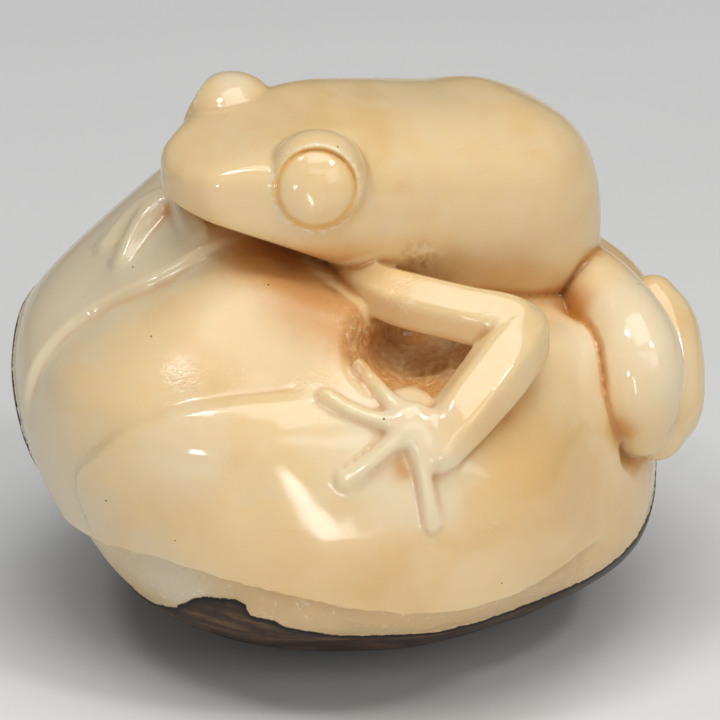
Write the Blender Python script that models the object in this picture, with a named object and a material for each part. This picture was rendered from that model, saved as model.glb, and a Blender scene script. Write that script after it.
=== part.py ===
"""Tagua frog carving: a frog hunched on the rounded nut that it was cut from.

It is one piece. The frog, the lobed nut under it and the skin left on the nut's underside
were never parted, so they are one solid here too.

Lengths are in millimetres and angles in degrees, and the mesh is built in metres. The origin
is the middle of the small flat foot. X runs to the viewer's right, the front faces -Y, Z is up.
"""

import bpy
import numpy as np

MM = 0.001

# The nut: how far it reaches from its core, and how square its sections are (2 is an ellipse).
CORE = np.array([0.0, 0.0, 20.0])
REACH_LEFT, REACH_RIGHT = 26.4, 25.0
REACH_FRONT, REACH_BACK = 20.4, 20.0
REACH_UP, REACH_DOWN = 21.0, 20.0
NUT_SQUARENESS = 2.45

# The point that the carving stands on: the middle of the flat that its foot is cut to.
STANCE = np.array([0.0, 0.3, 0.45])

# Broad cuts on the nut: direction from the front towards +X, elevation, distance from the core.
CUTS = {
    "seat": (90, 74, 10.6),
    "far left": (-118, 42, 22.0),
    "left": (-62, 52, 19.2),
    "front left": (-7, 45, 17.5),
    "front right": (40, 46, 16.2),
    "lower left": (-95, -38, 22.2),
    "right": (90, 0, 23.15),
    "beside the thigh": (62, 16, 20.0),
}
CUT_CRISPNESS = 20.0
# Cuts made below the belly once it is swollen.
TRIMS = {
    "under the right": (45, -56, 22.1),
    "under the left": (-48, -52, 24.5),
}

# The belly of the nut swells down the front to the lip: how far, the elevations where it starts,
# is fullest and ends, and the azimuths where it starts, is full, stays full and ends.
BELLY_OUT = 3.2
BELLY_ABOVE, BELLY_FULLEST, BELLY_BELOW = 25.0, -22.0, -46.0
BELLY_AROUND = (-60.0, -12.0, 12.0, 54.0)

# Carved edges on the nut, each a line of points with the cut-back side on its left:
# its points, how deep it is cut at its two ends, how soon it drops and how slowly it fades.
# The depth runs out over a share of the line at each end.
RUN_OUT = 0.15
LEAF_EDGE = ((-8.0, -5.0, 33.8), (-11.8, -7.0, 32.8), (-15.5, -7.1, 30.9), (-19.3, -6.4, 28.6),
             (-22.3, -6.5, 26.3), (-24.4, -7.6, 23.0), (-25.2, -8.4, 19.0))
ROLL_EDGE = ((-19.8, -15.0, 12.5), (-21.0, -14.3, 17.8), (-19.2, -15.7, 20.9), (-16.5, -16.7, 23.4),
             (-12.0, -17.0, 25.2), (-6.7, -17.4, 26.2), (-2.0, -17.8, 26.6))
LIP_EDGE = ((19.0, -11.0, 12.4), (16.3, -15.5, 12.6), (12.5, -19.0, 11.2), (9.2, -20.8, 10.8),
            (4.6, -21.8, 10.8), (-0.5, -22.0, 11.5), (-4.6, -21.8, 12.6), (-9.3, -20.5, 13.5),
            (-14.1, -17.8, 13.9), (-18.8, -14.0, 13.2), (-23.5, -6.0, 13.4), (-25.0, 3.0, 14.0))
EDGES = {
    "leaf": (LEAF_EDGE, (0.9, 0.7), 0.7, 4.0),
    "roll": (ROLL_EDGE, (0.7, 0.6), 0.9, 4.5),
    "lip": (LIP_EDGE, (0.9, 1.5), 0.8, 4.5),
}
ROLL_SWELL, ROLL_SWELL_AWAY, ROLL_SWELL_WIDTH = 0.35, 2.4, 2.3

# The hollow under the bent arm, and the groove along the front of the near thigh.
HOLLOW_AT, HOLLOW_WIDE, HOLLOW_HIGH, HOLLOW_DEEP = (4.2, -12.5, 28.0), 4.3, 3.1, 4.3
HOLLOW_DOWN = np.array([0.0, 0.35, 0.94])
GROOVE_FROM, GROOVE_TO, GROOVE_WIDE, GROOVE_DEEP = (16.6, -2.0, 27.0), (20.6, -7.5, 16.8), 1.3, 1.3

# The frog: the point between its eyes, and its heading turned from -X towards the viewer.
BETWEEN_EYES = np.array([-6.8, -4.0, 41.3])
HEADING = np.radians(30)
FORWARD = np.array([-np.cos(HEADING), -np.sin(HEADING), 0.0])
LEFT = np.array([np.sin(HEADING), -np.cos(HEADING), 0.0])
UP = np.array([0.0, 0.0, 1.0])

# Sections of head and trunk, all measured from the point between the eyes: how far forward,
# the level where it is widest, its half width, its top, its bottom and how square it is.
SECTIONS = (
    (8.0, -2.9, 0.8, -2.0, -3.6, 2.4),
    (7.7, -3.1, 2.3, -1.3, -4.0, 2.8),
    (6.7, -3.6, 4.1, -0.5, -4.6, 3.3),
    (4.6, -4.3, 5.8, 0.3, -5.5, 3.6),
    (1.5, -4.8, 8.3, 0.9, -6.9, 3.5),
    (-2.0, -5.0, 9.0, 1.4, -9.0, 3.0),
    (-5.5, -5.2, 9.0, 1.9, -10.8, 2.7),
    (-10.0, -6.2, 9.2, 1.3, -13.8, 2.6),
    (-16.0, -8.0, 9.6, 0.0, -16.5, 2.6),
    (-21.0, -9.2, 8.9, -0.8, -17.5, 2.7),
    (-25.0, -10.6, 6.5, -3.3, -17.0, 2.7),
    (-27.0, -11.6, 3.0, -7.6, -15.0, 2.4),
)

# An eye: a mound on the side of the head, and the ball that looks out and a little forward.
EYE_AT = (-0.5, 6.7, -1.5)
MOUND_RADIUS, EYEBALL_RADIUS, EYEBALL_OUT = 3.55, 3.1, 0.7
LOOK = (0.42, 0.83, 0.36)

# Limbs, as forward, to the side, up, half width and half thickness.
NEAR_ARM = (
    (-3.6, 5.0, -9.4, 1.2, 1.2),
    (-4.9, 9.6, -10.4, 2.15, 2.15),
    (-8.6, 13.6, -11.2, 2.3, 2.3),
    (-11.8, 16.2, -12.3, 2.45, 2.45),
    (-9.3, 18.0, -13.9, 2.6, 2.5),
    (-5.2, 19.5, -16.2, 2.5, 2.2),
    (-2.9, 20.2, -17.8, 2.1, 1.7),
)
FAR_ARM = (
    (-2.6, 5.8, -9.0, 2.1, 2.1),
    (-6.0, 10.2, -8.4, 2.25, 2.25),
    (-7.6, 13.4, -7.6, 2.4, 2.4),
    (-5.0, 13.4, -6.6, 2.3, 2.2),
    (0.6, 9.0, -7.4, 2.1, 1.6),
)
# The arms are pared to soft flats.
ARM_FLATS, PARED, FLATS_TURN = 6, 1.06, 0.3

# A hind leg lies on the nut: forward, to the side, up, how high above the nut, half width.
THIGH = (
    (-25.5, 4.4, -13.8, -0.3, 3.0),
    (-25.0, 8.1, -14.8, 0.3, 3.1),
    (-23.6, 13.2, -15.9, 1.1, 3.2),
    (-23.1, 15.9, -17.6, 1.9, 3.3),
    (-23.4, 17.0, -20.3, 1.8, 3.1),
    (-24.2, 16.6, -22.9, 1.0, 2.5),
)
SHANK = (
    (-25.4, 15.8, -24.2, 0.9, 2.1),
    (-27.7, 13.1, -23.4, 1.4, 2.3),
    (-29.0, 11.0, -20.9, 1.3, 2.4),
    (-29.3, 8.8, -18.7, 0.8, 2.3),
    (-29.5, 7.2, -17.3, 0.2, 1.9),
)

FAR_LEG_LIFT = 0.3

# A hand or foot: where the palm lies, which way it points, and its digits, each as the angle
# from that way, length, half width and half width of the pad.
NEAR_PALM, NEAR_HAND_WAY = (4.2, -20.2, 25.2), (-0.66, 0.0, -0.75)
NEAR_DIGITS = ((-104, 5.4, 0.65, 0.75), (-61, 7.6, 0.6, 0.9), (-14, 6.4, 0.75, 1.0), (54, 7.4, 0.65, 0.95))
FAR_PALM, FAR_HAND_WAY = (-13.0, 0.4, 34.0), (-0.55, -0.83, -0.1)
FAR_DIGITS = ((-54, 6.2, 0.8, 0.9), (-29, 6.6, 0.8, 0.9), (34, 6.0, 0.8, 0.95), (62, 6.2, 0.8, 0.9))
FOOT_DIGITS = ((-48, 5.6, 0.7, 1.0), (-16, 7.2, 0.7, 1.0), (16, 7.4, 0.7, 1.0), (48, 5.8, 0.7, 1.0))
FOOT_TOWARDS, FOOT_LENGTH = (-32.5, 4.0, -25.0), 4.5
PALM_HALF_WIDTH, PALM_HALF_THICKNESS, PALM_LIFT = 2.3, 1.2, 0.7
HEEL_LIFT, FOOT_LIFT = 0.8, 0.6
# Where a digit is measured, as shares of its length, and how high its middle lies above the nut.
DIGIT_STATIONS, DIGIT_LIFTS = (0.05, 0.4, 0.75, 1.0), (0.6, 0.5, 0.4, 0.35)
PAD_FLATNESS = 0.85

# Working of the surface: cell size of the fused solid, how far it is smoothed and thinned.
CELL = 0.42
POLISH_PASSES = 4
KEPT_SHARE = 0.076
GROUND_WIDTH, GROUND_DEPTH = 60.0, 8.0

TAGUA_COLOUR = (0.74, 0.56, 0.34, 1.0)
TAGUA_ROUGHNESS = 0.3


def unit(vectors):
    """Vectors scaled to length 1."""
    vectors = np.asarray(vectors, float)
    return vectors / np.linalg.norm(vectors, axis=-1, keepdims=True)


def ease(share):
    """0 below 0, 1 above 1, and a smooth rise between."""
    share = np.clip(share, 0, 1)
    return share * share * (3 - 2 * share)


def flowing(rows, count):
    """A smooth curve through every row, read at evenly spaced steps."""
    rows = np.asarray(rows, float)
    padded = np.vstack([2 * rows[0] - rows[1], rows, 2 * rows[-1] - rows[-2]])
    along = np.linspace(0, len(rows) - 1, count)
    index = np.minimum(along.astype(int), len(rows) - 2)
    share = (along - index)[:, None]
    before, start, end, after = (padded[index + k] for k in range(4))
    cubic = 3 * (start - end) + after - before
    square = 2 * before - 5 * start + 4 * end - after
    return start + 0.5 * share * (end - before + share * (square + share * cubic))


def skinned(rings):
    """Corners and faces of a stack of rings, with a face over each end."""
    count, sides = rings.shape[:2]
    grid = np.arange(count * sides).reshape(count, sides)
    beside = np.roll(grid, -1, axis=1)
    quads = np.stack([grid[:-1], beside[:-1], beside[1:], grid[1:]], -1).reshape(-1, 4)
    return rings.reshape(-1, 3), quads.tolist() + [grid[0][::-1].tolist(), grid[-1].tolist()]


def in_frog(points):
    """Points given forward, left and up from between the eyes, in the nut's axes."""
    points = np.asarray(points, float)
    return BETWEEN_EYES + points @ np.array([FORWARD, LEFT, UP])


def heading(azimuth, elevation):
    """The direction at an azimuth from the front towards +X and an elevation."""
    around, above = np.radians(azimuth), np.radians(elevation)
    return np.array([np.cos(above) * np.sin(around), -np.cos(above) * np.cos(around), np.sin(above)])


def beside(points, line):
    """How far points lie to the left of a line drawn on the nut, and their share of its length."""
    line = flowing(line, 24 * len(line))
    way = unit(np.gradient(line, axis=0))
    left = np.cross(unit(line - CORE), way)
    nearest = np.empty(len(points), int)
    for first in range(0, len(points), 4096):
        some = slice(first, first + 4096)
        nearest[some] = np.linalg.norm(points[some, None] - line, axis=-1).argmin(1)
    away = np.einsum("ij,ij->i", points - line[nearest], left[nearest])
    return away, nearest / (len(line) - 1)


def carved_in(points):
    """How deep the nut is carved below its broad form at points on it."""
    depth = np.zeros(len(points))
    for name, (line, (at_start, at_end), drop, fade) in EDGES.items():
        away, share = beside(points, line)
        ends = ease(share / RUN_OUT) * ease((1 - share) / RUN_OUT)
        step_down = ease(away / drop + 0.5) * np.exp(-np.maximum(away, 0) / fade)
        depth += ends * (at_start + (at_end - at_start) * share) * step_down
        if name == "roll":
            depth -= ends * ROLL_SWELL * np.exp(-(((away + ROLL_SWELL_AWAY) / ROLL_SWELL_WIDTH) ** 2))
    off = points - HOLLOW_AT
    across, down = off[:, 0] / HOLLOW_WIDE, off @ HOLLOW_DOWN / HOLLOW_HIGH
    in_front = ease(points[:, 1] / HOLLOW_AT[1] * 2)
    depth += HOLLOW_DEEP * np.exp(-((across**2 + down**2) ** 1.5)) * in_front
    along = np.array(GROOVE_TO) - GROOVE_FROM
    share = np.clip((points - GROOVE_FROM) @ along / (along @ along), 0, 1)
    off = np.linalg.norm(points - GROOVE_FROM - share[:, None] * along, axis=1)
    return depth + GROOVE_DEEP * np.exp(-((off / GROOVE_WIDE) ** 2))


def belly(ways):
    """How far the nut's belly swells out in each direction."""
    above = np.degrees(np.arcsin(ways[:, 2]))
    around = np.degrees(np.arctan2(ways[:, 0], -ways[:, 1]))
    down = ease((BELLY_ABOVE - above) / (BELLY_ABOVE - BELLY_FULLEST))
    under = ease((above - BELLY_BELOW) / (BELLY_FULLEST - BELLY_BELOW))
    start, full, last, end = BELLY_AROUND
    sideways = ease((around - start) / (full - start)) * ease((end - around) / (end - last))
    return BELLY_OUT * down * under * sideways


def nut_reach(directions):
    """Distance from the core to the nut's surface: a squared egg, trimmed softly by the cuts."""
    ways = unit(directions).reshape(-1, 3)
    reach = np.where(ways > 0, (REACH_RIGHT, REACH_BACK, REACH_UP), (REACH_LEFT, REACH_FRONT, REACH_DOWN))
    gauge = (np.abs(ways / reach) ** NUT_SQUARENESS).sum(1) ** (CUT_CRISPNESS / NUT_SQUARENESS)
    for azimuth, elevation, distance in CUTS.values():
        gauge += np.maximum(ways @ heading(azimuth, elevation) / distance, 0) ** CUT_CRISPNESS
    broad = gauge ** (-1 / CUT_CRISPNESS) + belly(ways)
    gauge = broad**-CUT_CRISPNESS
    for azimuth, elevation, distance in TRIMS.values():
        gauge += np.maximum(ways @ heading(azimuth, elevation) / distance, 0) ** CUT_CRISPNESS
    broad = gauge ** (-1 / CUT_CRISPNESS)
    carved = broad - carved_in(CORE + ways * broad[:, None])
    return carved.reshape(np.shape(directions)[:-1])


def laid(points, lift):
    """Points moved towards or away from the core until they lie on the nut, plus a lift."""
    ways = unit(np.asarray(points, float) - CORE)
    return CORE + ways * (nut_reach(ways) + lift)[..., None]


def nut(rows=150):
    """The nut: its reach in every direction from the core."""
    down = np.linspace(0, np.pi, rows)[1:-1, None]
    around = np.linspace(0, 2 * np.pi, 2 * rows, endpoint=False)[None]
    ways = np.stack([np.sin(down) * np.cos(around), np.sin(down) * np.sin(around),
                     np.cos(down) + 0 * around], -1)
    return skinned(CORE + ways * nut_reach(ways)[..., None])


def trunk(sides=64, count=96):
    """Head and trunk: superellipse sections carried from the snout to the rump."""
    columns = flowing(SECTIONS, count).T[:, :, None]
    forward, level, half_width, top, bottom, squareness = columns
    around = np.linspace(0, 2 * np.pi, sides, endpoint=False)
    across = np.sign(np.cos(around)) * np.abs(np.cos(around)) ** (2 / squareness)
    above = np.sign(np.sin(around)) * np.abs(np.sin(around)) ** (2 / squareness)
    height = np.where(above > 0, top - level, level - bottom)
    rings = np.stack([forward + 0 * across, half_width * across, level + height * above], -1)
    return skinned(in_frog(rings))


def ball(centre, radius, rows=28):
    """A round ball."""
    down = np.linspace(0, np.pi, rows)[1:-1, None]
    around = np.linspace(0, 2 * np.pi, 2 * rows, endpoint=False)[None]
    ways = np.stack([np.sin(down) * np.cos(around), np.sin(down) * np.sin(around),
                     np.cos(down) + 0 * around], -1)
    return skinned(np.asarray(centre) + radius * ways)


def eye(side):
    """The mound and the ball of one eye, on the left (1) or the right (-1)."""
    mirror = (1, side, 1)
    at = np.array(EYE_AT)
    look = unit(LOOK)
    return [
        ball(in_frog(at * mirror), MOUND_RADIUS),
        ball(in_frog((at + EYEBALL_OUT * look) * mirror), EYEBALL_RADIUS),
    ]


def limb(rows, over=UP, flats=0, sides=24, steps=10, cap=5):
    """A round-ended limb: a section carried along a smooth line of x, y, z, width, thickness.

    The section is an oval, or with flats an oval pared down to that many soft flats.
    """
    line = flowing(rows, steps * (len(rows) - 1) + 1)
    way = unit(np.gradient(line[:, :3], axis=0))
    turn = np.linspace(np.pi / 2, 0, cap, endpoint=False)[:, None]
    first, last = line[0], line[-1]
    start = np.hstack([first[:3] - way[0] * first[3] * np.sin(turn), first[3:] * np.cos(turn)])
    end = np.hstack([last[:3] + way[-1] * last[3] * np.sin(turn), last[3:] * np.cos(turn)])
    line = np.vstack([start, line, end[::-1]])
    line[:, 3:] = np.maximum(line[:, 3:], 0.05)
    way = np.vstack([np.repeat(way[:1], cap, 0), way, np.repeat(way[-1:], cap, 0)])
    across = unit(np.cross(way, over))
    above = np.cross(across, way)
    around = np.linspace(0, 2 * np.pi, sides, endpoint=False)[None, :, None]
    pared = 1.0
    if flats:
        from_flat = (around + FLATS_TURN) % (2 * np.pi / flats) - np.pi / flats
        pared = np.minimum(1.0, PARED * np.cos(np.pi / flats) / np.cos(from_flat))
    wide = across[:, None] * line[:, None, 3:4] * np.cos(around) * pared
    thick = above[:, None] * line[:, None, 4:5] * np.sin(around) * pared
    return skinned(line[:, None, :3] + wide + thick)


def arm(rows, side):
    """An arm from shoulder over the elbow to the wrist."""
    rows = np.array(rows) * (1, side, 1, 1, 1)
    return [limb(np.hstack([in_frog(rows[:, :3]), rows[:, 3:]]), flats=ARM_FLATS)]


def laid_limb(rows, side):
    """A round limb that lies on the nut, closer to it on the far side."""
    rows = np.array(rows) * (1, side, 1, 1 if side > 0 else FAR_LEG_LIFT, 1)
    points = laid(in_frog(rows[:, :3]), rows[:, 3])
    return limb(np.hstack([points, rows[:, 4:], rows[:, 4:]]), over=unit(points.mean(0) - CORE))


def hand(palm, way, digits, wrist):
    """A palm pressed on the nut, joined to its wrist, with its digits fanned out."""
    over = unit(np.asarray(palm, float) - CORE)
    palm = laid(palm, PALM_LIFT)
    way = unit(way - over * (way @ over))
    side = np.cross(over, way)
    size = (PALM_HALF_WIDTH, PALM_HALF_THICKNESS)
    forms = [limb(np.array([[*wrist, *size], [*palm, *size]]), over)]
    for angle, length, half_width, pad in digits:
        turn = np.radians(angle)
        ahead = np.cos(turn) * way + np.sin(turn) * side
        stations = palm + ahead * length * np.array(DIGIT_STATIONS)[:, None]
        points = laid(stations, np.array(DIGIT_LIFTS))
        widths = [[PALM_HALF_THICKNESS] * 2, [half_width] * 2, [half_width] * 2, [pad, PAD_FLATNESS * pad]]
        forms.append(limb(np.hstack([points, widths]), over))
    return forms


def hind_leg(side):
    """A folded hind leg on the nut: thigh, shank and the foot behind them."""
    ankle = in_frog(np.array(SHANK[-1][:3]) * (1, side, 1))
    heel = laid(ankle, HEEL_LIFT)
    behind = in_frog(np.array(FOOT_TOWARDS) * (1, side, 1))
    palm = laid(heel + FOOT_LENGTH * unit(behind - heel), FOOT_LIFT)
    return [laid_limb(THIGH, side), laid_limb(SHANK, side)] + hand(palm, behind - heel, FOOT_DIGITS, heel)


def frog():
    """Every form of the frog."""
    forms = [trunk()] + eye(1) + eye(-1)
    forms += arm(NEAR_ARM, 1) + arm(FAR_ARM, -1)
    near_wrist = in_frog(NEAR_ARM[-1][:3])
    far_wrist = in_frog(np.array(FAR_ARM[-1][:3]) * (1, -1, 1))
    forms += hand(NEAR_PALM, np.array(NEAR_HAND_WAY), NEAR_DIGITS, near_wrist)
    forms += hand(FAR_PALM, np.array(FAR_HAND_WAY), FAR_DIGITS, far_wrist)
    return forms + hind_leg(1) + hind_leg(-1)


def tagua():
    """Polished tagua: a warm cream that shines softly."""
    material = bpy.data.materials.new("tagua")
    material.use_nodes = True
    shader = material.node_tree.nodes["Principled BSDF"]
    shader.inputs["Base Color"].default_value = TAGUA_COLOUR
    shader.inputs["Roughness"].default_value = TAGUA_ROUGHNESS
    shader.inputs["Metallic"].default_value = 0.0
    return material


def ground():
    """The block whose top is the plane of the foot: what lies below it is cut away."""
    half, depth = GROUND_WIDTH / 2 * MM, GROUND_DEPTH * MM
    corners = [(x, y, z) for z in (-depth, 0.0) for x, y in
               ((-half, -half), (half, -half), (half, half), (-half, half))]
    faces = [(3, 2, 1, 0), (4, 5, 6, 7), (0, 1, 5, 4), (1, 2, 6, 5), (2, 3, 7, 6), (3, 0, 4, 7)]
    mesh = bpy.data.meshes.new("ground")
    mesh.from_pydata(corners, [], faces)
    block = bpy.data.objects.new("ground_cutter", mesh)
    block.hide_render = True
    block.display_type = "WIRE"
    bpy.context.scene.collection.objects.link(block)
    return block


def carving():
    """All forms fused into one solid, polished, thinned and set on its foot."""
    corners, faces = [], []
    count = 0
    for points, sides in [nut()] + frog():
        corners.append(points)
        faces += [[corner + count for corner in side] for side in sides]
        count += len(points)
    mesh = bpy.data.meshes.new("tagua_frog_carving")
    mesh.from_pydata(((np.vstack(corners) - STANCE) * MM).tolist(), [], faces)
    mesh.materials.append(tagua())
    piece = bpy.data.objects.new("tagua_frog_carving", mesh)
    bpy.context.scene.collection.objects.link(piece)

    fuse = piece.modifiers.new("fuse", "REMESH")
    fuse.mode = "VOXEL"
    fuse.voxel_size = CELL * MM
    fuse.use_smooth_shade = True
    polish = piece.modifiers.new("polish", "SMOOTH")
    polish.factor = 0.5
    polish.iterations = POLISH_PASSES
    thin = piece.modifiers.new("thin", "DECIMATE")
    thin.ratio = KEPT_SHARE
    foot = piece.modifiers.new("foot", "BOOLEAN")
    foot.operation = "DIFFERENCE"
    foot.solver = "EXACT"
    foot.object = ground()
    return piece


def main():
    for thing in list(bpy.data.objects):
        bpy.data.objects.remove(thing)
    carving()


main()
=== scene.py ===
"""Looks of the tagua frog carving: a polished frog on the rounded nut that it was cut from.

The carving is one piece, made here again from its own forms with the finer work on it: the
cleaned eyes, the crisp folds and lip, the rough hollow under the arm, the ragged edge of the
dark seed skin. Forms are written in millimetres in the nut's own frame, whose core stands
20 mm up, and come down by STANCE and into metres when the mesh is made.
"""

import bpy
import numpy as np
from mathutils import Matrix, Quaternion, Vector


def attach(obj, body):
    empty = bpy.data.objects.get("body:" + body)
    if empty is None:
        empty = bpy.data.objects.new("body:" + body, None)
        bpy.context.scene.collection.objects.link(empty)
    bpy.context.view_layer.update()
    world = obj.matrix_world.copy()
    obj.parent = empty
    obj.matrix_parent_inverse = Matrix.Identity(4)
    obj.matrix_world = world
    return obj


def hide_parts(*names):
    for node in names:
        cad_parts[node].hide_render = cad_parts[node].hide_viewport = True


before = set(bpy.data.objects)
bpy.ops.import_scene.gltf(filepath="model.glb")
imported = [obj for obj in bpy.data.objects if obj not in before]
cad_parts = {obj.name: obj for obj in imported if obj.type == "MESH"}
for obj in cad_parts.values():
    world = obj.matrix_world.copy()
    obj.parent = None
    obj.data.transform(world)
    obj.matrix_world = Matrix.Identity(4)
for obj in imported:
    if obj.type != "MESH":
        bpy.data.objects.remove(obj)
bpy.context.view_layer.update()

MM = 0.001
NODE = "tagua_frog_carving"

# The nut: how far it reaches from its core, and how square its sections are (2 is an ellipse).
CORE = np.array([0.0, 0.0, 20.0])
REACH_LEFT, REACH_RIGHT = 26.4, 25.0
REACH_FRONT, REACH_BACK = 20.4, 20.0
REACH_UP, REACH_DOWN = 21.0, 20.0
NUT_SQUARENESS = 2.45

# The point that the carving stands on: the middle of the flat that its foot is cut to.
STANCE = np.array([0.0, 0.3, 0.45])

# Broad cuts on the nut: direction from the front towards +X, elevation, distance from the core.
CUTS = {
    "seat": (90, 74, 10.6),
    "far left": (-118, 42, 22.0),
    "left": (-62, 52, 19.2),
    "front left": (-7, 45, 17.5),
    "front right": (40, 46, 16.2),
    "lower left": (-95, -38, 22.2),
    "right": (90, 0, 23.15),
    "beside the thigh": (62, 16, 20.0),
}
CUT_CRISPNESS = 20.0
# Cuts made below the belly once it is swollen.
TRIMS = {
    "under the right": (45, -56, 22.1),
    "under the left": (-48, -52, 24.5),
}

# The belly of the nut swells down the front to the lip: how far, the elevations where it starts,
# is fullest and ends, and the azimuths where it starts, is full, stays full and ends.
BELLY_OUT = 3.2
BELLY_ABOVE, BELLY_FULLEST, BELLY_BELOW = 25.0, -22.0, -46.0
BELLY_AROUND = (-60.0, -12.0, 12.0, 54.0)

# Carved edges on the nut, each a line of points with the cut-back side on its left:
# its points, how deep it is cut at its two ends, how soon it drops and how slowly it fades.
# The depth runs out over a share of the line at each end.
RUN_OUT = 0.15
LEAF_EDGE = ((-8.0, -5.0, 33.8), (-11.8, -7.0, 32.8), (-15.5, -7.1, 30.9), (-19.3, -6.4, 28.6),
             (-22.3, -6.5, 26.3), (-24.4, -7.6, 23.0), (-25.2, -8.4, 19.0))
ROLL_EDGE = ((-19.8, -15.0, 12.5), (-21.0, -14.3, 17.8), (-19.2, -15.7, 20.9), (-16.5, -16.7, 23.4),
             (-12.0, -17.0, 25.2), (-6.7, -17.4, 26.2), (-2.0, -17.8, 26.6))
LIP_EDGE = ((19.0, -11.0, 12.4), (16.3, -15.5, 12.6), (12.5, -19.0, 11.2), (9.2, -20.8, 10.8),
            (4.6, -21.8, 10.8), (-0.5, -22.0, 11.5), (-4.6, -21.8, 12.6), (-9.3, -20.5, 13.5),
            (-14.1, -17.8, 13.9), (-18.8, -14.0, 13.2), (-23.5, -6.0, 13.4), (-25.0, 3.0, 14.0))
EDGES = {
    "leaf": (LEAF_EDGE, (0.9, 0.7), 0.4, 4.0),
    "roll": (ROLL_EDGE, (0.7, 0.6), 0.9, 4.5),
    "lip": (LIP_EDGE, (0.9, 1.6), 0.3, 4.5),
}
ROLL_SWELL, ROLL_SWELL_AWAY, ROLL_SWELL_WIDTH = 0.35, 2.4, 2.3

# The hollow under the bent arm, and the groove along the front of the near thigh.
HOLLOW_AT, HOLLOW_WIDE, HOLLOW_HIGH, HOLLOW_DEEP = (4.4, -12.5, 28.0), 4.6, 3.5, 6.2
HOLLOW_WALLS = 2.4
HOLLOW_DOWN = np.array([0.0, 0.35, 0.94])
GROOVE_FROM, GROOVE_TO, GROOVE_WIDE, GROOVE_DEEP = (16.6, -2.0, 27.0), (20.6, -7.5, 16.8), 1.3, 1.3

# The frog: the point between its eyes, and its heading turned from -X towards the viewer.
BETWEEN_EYES = np.array([-6.8, -4.0, 41.3])
HEADING = np.radians(30)
FORWARD = np.array([-np.cos(HEADING), -np.sin(HEADING), 0.0])
LEFT = np.array([np.sin(HEADING), -np.cos(HEADING), 0.0])
UP = np.array([0.0, 0.0, 1.0])

# Sections of head and trunk, all measured from the point between the eyes: how far forward,
# the level where it is widest, its half width, its top, its bottom and how square it is.
SECTIONS = (
    (8.0, -2.9, 0.8, -2.0, -3.6, 2.4),
    (7.7, -3.1, 2.3, -1.3, -4.0, 2.8),
    (6.7, -3.6, 4.1, -0.5, -4.6, 3.3),
    (4.6, -4.3, 5.8, 0.3, -5.5, 3.6),
    (1.5, -4.8, 8.3, 0.9, -6.9, 3.5),
    (-2.0, -5.0, 9.0, 1.4, -9.0, 3.0),
    (-5.5, -5.2, 9.0, 1.9, -10.8, 2.7),
    (-10.0, -6.2, 9.2, 1.3, -13.8, 2.6),
    (-16.0, -8.0, 9.6, 0.0, -16.5, 2.6),
    (-21.0, -9.2, 8.9, -0.8, -17.5, 2.7),
    (-25.0, -10.6, 6.5, -3.3, -17.0, 2.7),
    (-27.0, -11.6, 3.0, -7.6, -15.0, 2.4),
)
HEAD_CRISP = 1.4

# An eye: a mound on the side of the head, the ball that looks out and a little forward,
# the fine ring cut around it and how far the ball is pared down to a low dome inside the ring.
EYE_AT, EYEBALL_SHIFT = (-0.5, 6.5, -1.45), (0.2, 0.0, -0.35)
MOUND_RADIUS, EYEBALL_RADIUS, EYEBALL_OUT = 3.75, 3.1, 0.7
LOOK = (0.42, 0.83, 0.27)
RING_RADIUS, RING_WIDTH, RING_DEPTH = 2.85, 0.18, 0.12
RING_STAIN_WIDTH, RIM_OUT, RIM_WIDTH = 0.24, 0.38, 0.16
DOME_RADIUS, DOME_LEVEL = 4.6, 1.5

# Where forms are worked into one another until no crease is left: middle, radius and how much.
BLENDED = {
    "under the near eye": ((-3.2, -12.4, 37.0), 3.0, 1.0),
    "before the near eye": ((-6.6, -10.3, 38.4), 1.8, 0.9),
    "behind the near eye": ((1.4, -10.4, 38.0), 2.2, 0.9),
    "near palm": ((4.0, -20.4, 25.2), 2.2, 0.7),
    "near fingers": ((1.5, -21.0, 24.5), 5.0, 0.12),
    "near wrist": ((5.4, -20.2, 24.6), 1.8, 0.4),
    "far hand": ((-14.5, -1.5, 33.0), 4.5, 0.5),
    "knee": ((23.0, -8.0, 19.5), 2.6, 0.9),
    "near elbow": ((12.8, -13.5, 29.6), 2.2, 0.5),
}
BLEND_PASSES, BLEND_SHARE = 44, 0.6

# Limbs, as forward, to the side, up, half width and half thickness.
NEAR_ARM = (
    (-3.6, 5.0, -9.4, 1.2, 1.2),
    (-4.9, 9.6, -10.4, 2.15, 2.15),
    (-8.6, 13.6, -11.2, 2.3, 2.3),
    (-11.8, 16.2, -12.3, 2.45, 2.45),
    (-9.3, 18.0, -13.9, 2.6, 2.5),
    (-5.2, 19.5, -16.2, 2.5, 2.2),
    (-2.9, 20.2, -17.8, 2.1, 1.7),
)
FAR_ARM = (
    (-2.6, 5.8, -9.0, 2.1, 2.1),
    (-6.0, 10.2, -8.4, 2.25, 2.25),
    (-7.6, 13.4, -7.6, 2.4, 2.4),
    (-5.0, 13.4, -6.6, 2.3, 2.2),
    (0.6, 9.0, -7.4, 2.1, 1.6),
)
# The arms are pared to soft flats.
ARM_FLATS, PARED, FLATS_TURN = 6, 1.06, 0.62

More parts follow.
